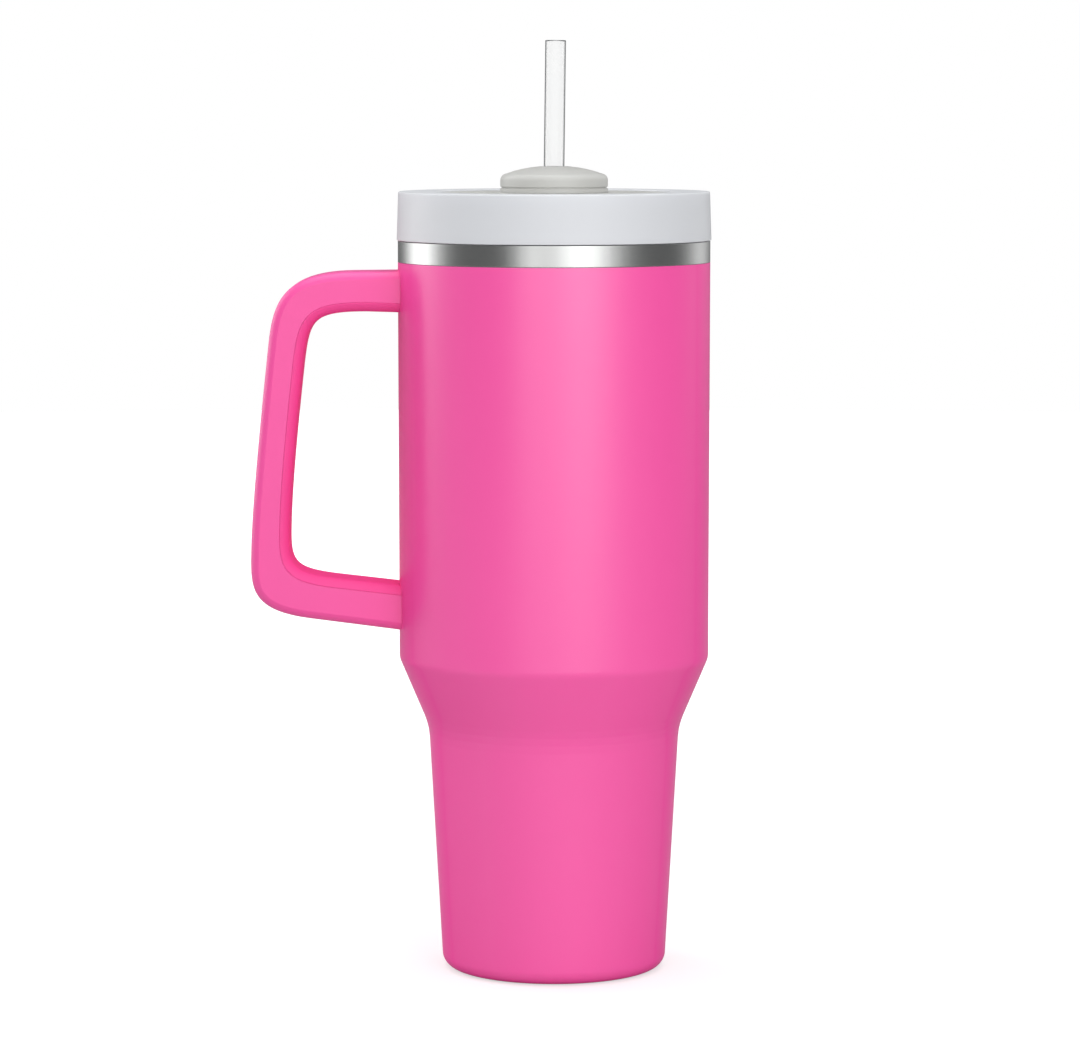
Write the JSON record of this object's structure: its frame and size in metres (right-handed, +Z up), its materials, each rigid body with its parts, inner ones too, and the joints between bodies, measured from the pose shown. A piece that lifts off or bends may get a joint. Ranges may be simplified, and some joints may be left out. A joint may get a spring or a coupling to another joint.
{
  "type": "insulated tumbler with lid",
  "caption": "Tall double-wall vacuum tumbler with a narrow foot, side handle, push-in lid with a rotating cover, and a clear straw.",
  "frame": {"origin": "on the cup's axis, in the plane the cup stands on, at the centre of the base pad", "axes": "+Z up along the cup's axis; the handle points to -X; the sip port is on the +Y side"},
  "size_m": [0.1476, 0.1008, 0.299],
  "materials": {
    "pink_coat": "satin powder coat",
    "bare_steel": "polished",
    "pink_plastic": "satin",
    "pink_grip": "soft touch",
    "frosted_lid": "frosted, slightly translucent",
    "grey_cover": "satin",
    "clear_straw": "clear",
    "silicone": "matt translucent silicone",
    "base_rubber": "matt silicone",
    "foil": "bright foil",
    "getter_grey": "sintered",
    "clip_plastic": "satin"
  },
  "bodies": {
    "tumbler": {"outer_shell": "pink_coat", "inner_liner": "bare_steel", "heat_foil": "foil", "bottom_plate": "bare_steel", "vacuum_seal_bead": "bare_steel", "getter": "getter_grey", "base_pad": "base_rubber", "handle_shell": "pink_plastic", "handle_grip": "pink_grip", "bracket_top": "bare_steel", "bracket_bottom": "bare_steel", "screw_top": "bare_steel", "screw_bottom": "bare_steel", "screw_plug_top": "pink_grip", "screw_plug_bottom": "pink_grip"},
    "lid": {"lid_body": "frosted_lid", "lid_gasket": "silicone", "sip_port_seal": "silicone", "hub_seal": "silicone"},
    "cover": {"rotary_cover": "grey_cover", "cover_turret": "grey_cover", "straw_grommet": "silicone", "retaining_clip": "clip_plastic"},
    "straw": {"straw": "clear_straw"}
  },
  "joints": [
    {"name": "lid_lift", "type": "slide", "parent": "tumbler", "child": "lid", "axis": [0, 0, 1], "range_m": [0, 0.24]},
    {"name": "cover_turn", "type": "hinge", "parent": "lid", "child": "cover", "pos_m": [0, 0, 0.2493], "axis": [0, 0, 1], "range_deg": [-60, 60]},
    {"name": "straw_pull", "type": "slide", "parent": "cover", "child": "straw", "axis": [0.0122, 0, 0.9999], "range_m": [0, 0.255]}
  ]
}
